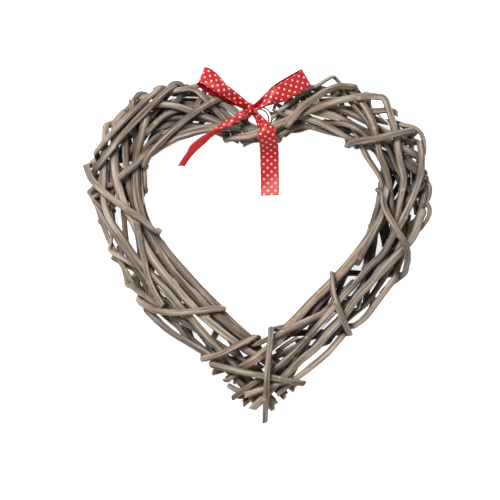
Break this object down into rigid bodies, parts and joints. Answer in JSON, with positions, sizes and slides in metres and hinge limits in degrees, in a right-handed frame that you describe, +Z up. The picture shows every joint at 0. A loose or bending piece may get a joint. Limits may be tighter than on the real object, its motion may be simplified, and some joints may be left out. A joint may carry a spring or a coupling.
{
  "type": "wicker heart wreath",
  "caption": "Open heart-shaped wreath of interwoven willow rods with a wire hanging ring and a spotted ribbon bow.",
  "frame": {"origin": "bottom centre of the bounding box, on the surface the wreath lies on", "axes": "+Z up, out of the wreath's front; -Y towards the heart's tip; +X to the right as seen from the front"},
  "size_m": [0.3122, 0.315, 0.061],
  "materials": {
    "frame_wire": "dull drawn wire",
    "hanging_ring": "dark twisted wire",
    "ribbon_bow": "red satin with small white spots on its face",
    "rod_back_left_limb_inner_willow": "greyed willow bark, dry and matte",
    "rod_back_left_limb_outer_willow": "greyed willow bark, dry and matte",
    "rod_back_left_lobe_willow": "greyed willow bark, dry and matte",
    "rod_back_right_limb_inner_willow": "greyed willow bark, dry and matte",
    "rod_back_right_limb_outer_willow": "greyed willow bark, dry and matte",
    "rod_back_right_lobe_willow": "greyed willow bark, dry and matte",
    "rod_cleft_crossing_high_willow": "greyed willow bark, dry and matte",
    "rod_cleft_crossing_low_willow": "greyed willow bark, dry and matte",
    "rod_left_binding_willow": "greyed willow bark, dry and matte",
    "rod_left_cleft_inner_willow": "greyed willow bark, dry and matte",
    "rod_left_cleft_middle_willow": "greyed willow bark, dry and matte",
    "rod_left_cleft_outer_willow": "greyed willow bark, dry and matte",
    "rod_left_flank_diagonal_willow": "greyed willow bark, dry and matte",
    "rod_left_flank_inward_willow": "greyed willow bark, dry and matte",
    "rod_left_inner_edge_willow": "greyed willow bark, dry and matte",
    "rod_left_limb_crossing_willow": "greyed willow bark, dry and matte",
    "rod_left_limb_long_willow": "greyed willow bark, dry and matte",
    "rod_left_limb_outermost_willow": "greyed willow bark, dry and matte",
    "rod_left_limb_pale_willow": "greyed willow bark, dry and matte",
    "rod_left_limb_slanting_willow": "greyed willow bark, dry and matte",
    "rod_left_limb_thick_willow": "greyed willow bark, dry and matte",
    "rod_left_limb_thin_willow": "greyed willow bark, dry and matte",
    "rod_left_lobe_chord_willow": "greyed willow bark, dry and matte",
    "rod_left_lobe_inward_willow": "greyed willow bark, dry and matte",
    "rod_left_lobe_long_chord_willow": "greyed willow bark, dry and matte",
    "rod_left_lobe_middle_willow": "greyed willow bark, dry and matte",
    "rod_left_lobe_rising_willow": "greyed willow bark, dry and matte",
    "rod_left_lobe_thickest_willow": "greyed willow bark, dry and matte",
    "rod_left_lobe_top_willow": "greyed willow bark, dry and matte",
    "rod_left_outer_edge_willow": "greyed willow bark, dry and matte",
    "rod_right_binding_willow": "greyed willow bark, dry and matte",
    "rod_right_cleft_inner_willow": "greyed willow bark, dry and matte",
    "rod_right_cleft_outer_willow": "greyed willow bark, dry and matte",
    "rod_right_cleft_peak_willow": "greyed willow bark, dry and matte",
    "rod_right_cleft_shoulder_willow": "greyed willow bark, dry and matte",
    "rod_right_flank_edge_willow": "greyed willow bark, dry and matte",
    "rod_right_flank_inner_willow": "greyed willow bark, dry and matte",
    "rod_right_flank_outward_willow": "greyed willow bark, dry and matte",
    "rod_right_limb_across_willow": "greyed willow bark, dry and matte",
    "rod_right_limb_bowed_willow": "greyed willow bark, dry and matte",
    "rod_right_limb_bulge_willow": "greyed willow bark, dry and matte",
    "rod_right_limb_long_willow": "greyed willow bark, dry and matte",
    "rod_right_limb_outer_long_willow": "greyed willow bark, dry and matte",
    "rod_right_limb_outermost_willow": "greyed willow bark, dry and matte",
    "rod_right_limb_tan_willow": "greyed willow bark, dry and matte",
    "rod_right_limb_thin_willow": "greyed willow bark, dry and matte",
    "rod_right_lobe_broad_willow": "greyed willow bark, dry and matte",
    "rod_right_lobe_inner_willow": "greyed willow bark, dry and matte",
    "rod_right_lobe_innermost_willow": "greyed willow bark, dry and matte",
    "rod_right_lobe_long_willow": "greyed willow bark, dry and matte",
    "rod_right_lobe_middle_willow": "greyed willow bark, dry and matte",
    "rod_right_lobe_stub_willow": "greyed willow bark, dry and matte",
    "rod_right_lobe_sweep_willow": "greyed willow bark, dry and matte",
    "rod_right_lobe_thin_willow": "greyed willow bark, dry and matte",
    "rod_tip_crossing_willow": "greyed willow bark, dry and matte",
    "rod_tip_slanting_willow": "greyed willow bark, dry and matte",
    "rod_tip_upright_willow": "greyed willow bark, dry and matte"
  },
  "bodies": {
    "root": {"frame_wire": "frame_wire", "hanging_ring": "hanging_ring", "ribbon_bow": "ribbon_bow", "rod_back_left_limb_inner": "rod_back_left_limb_inner_willow", "rod_back_left_limb_outer": "rod_back_left_limb_outer_willow", "rod_back_left_lobe": "rod_back_left_lobe_willow", "rod_back_right_limb_inner": "rod_back_right_limb_inner_willow", "rod_back_right_limb_outer": "rod_back_right_limb_outer_willow", "rod_back_right_lobe": "rod_back_right_lobe_willow", "rod_cleft_crossing_high": "rod_cleft_crossing_high_willow", "rod_cleft_crossing_low": "rod_cleft_crossing_low_willow", "rod_left_binding": "rod_left_binding_willow", "rod_left_cleft_inner": "rod_left_cleft_inner_willow", "rod_left_cleft_middle": "rod_left_cleft_middle_willow", "rod_left_cleft_outer": "rod_left_cleft_outer_willow", "rod_left_flank_diagonal": "rod_left_flank_diagonal_willow", "rod_left_flank_inward": "rod_left_flank_inward_willow", "rod_left_inner_edge": "rod_left_inner_edge_willow", "rod_left_limb_crossing": "rod_left_limb_crossing_willow", "rod_left_limb_long": "rod_left_limb_long_willow", "rod_left_limb_outermost": "rod_left_limb_outermost_willow", "rod_left_limb_pale": "rod_left_limb_pale_willow", "rod_left_limb_slanting": "rod_left_limb_slanting_willow", "rod_left_limb_thick": "rod_left_limb_thick_willow", "rod_left_limb_thin": "rod_left_limb_thin_willow", "rod_left_lobe_chord": "rod_left_lobe_chord_willow", "rod_left_lobe_inward": "rod_left_lobe_inward_willow", "rod_left_lobe_long_chord": "rod_left_lobe_long_chord_willow", "rod_left_lobe_middle": "rod_left_lobe_middle_willow", "rod_left_lobe_rising": "rod_left_lobe_rising_willow", "rod_left_lobe_thickest": "rod_left_lobe_thickest_willow", "rod_left_lobe_top": "rod_left_lobe_top_willow", "rod_left_outer_edge": "rod_left_outer_edge_willow", "rod_right_binding": "rod_right_binding_willow", "rod_right_cleft_inner": "rod_right_cleft_inner_willow", "rod_right_cleft_outer": "rod_right_cleft_outer_willow", "rod_right_cleft_peak": "rod_right_cleft_peak_willow", "rod_right_cleft_shoulder": "rod_right_cleft_shoulder_willow", "rod_right_flank_edge": "rod_right_flank_edge_willow", "rod_right_flank_inner": "rod_right_flank_inner_willow", "rod_right_flank_outward": "rod_right_flank_outward_willow", "rod_right_limb_across": "rod_right_limb_across_willow", "rod_right_limb_bowed": "rod_right_limb_bowed_willow", "rod_right_limb_bulge": "rod_right_limb_bulge_willow", "rod_right_limb_long": "rod_right_limb_long_willow", "rod_right_limb_outer_long": "rod_right_limb_outer_long_willow", "rod_right_limb_outermost": "rod_right_limb_outermost_willow", "rod_right_limb_tan": "rod_right_limb_tan_willow", "rod_right_limb_thin": "rod_right_limb_thin_willow", "rod_right_lobe_broad": "rod_right_lobe_broad_willow", "rod_right_lobe_inner": "rod_right_lobe_inner_willow", "rod_right_lobe_innermost": "rod_right_lobe_innermost_willow", "rod_right_lobe_long": "rod_right_lobe_long_willow", "rod_right_lobe_middle": "rod_right_lobe_middle_willow", "rod_right_lobe_stub": "rod_right_lobe_stub_willow", "rod_right_lobe_sweep": "rod_right_lobe_sweep_willow", "rod_right_lobe_thin": "rod_right_lobe_thin_willow", "rod_tip_crossing": "rod_tip_crossing_willow", "rod_tip_slanting": "rod_tip_slanting_willow", "rod_tip_upright": "rod_tip_upright_willow"}
  },
  "joints": []
}
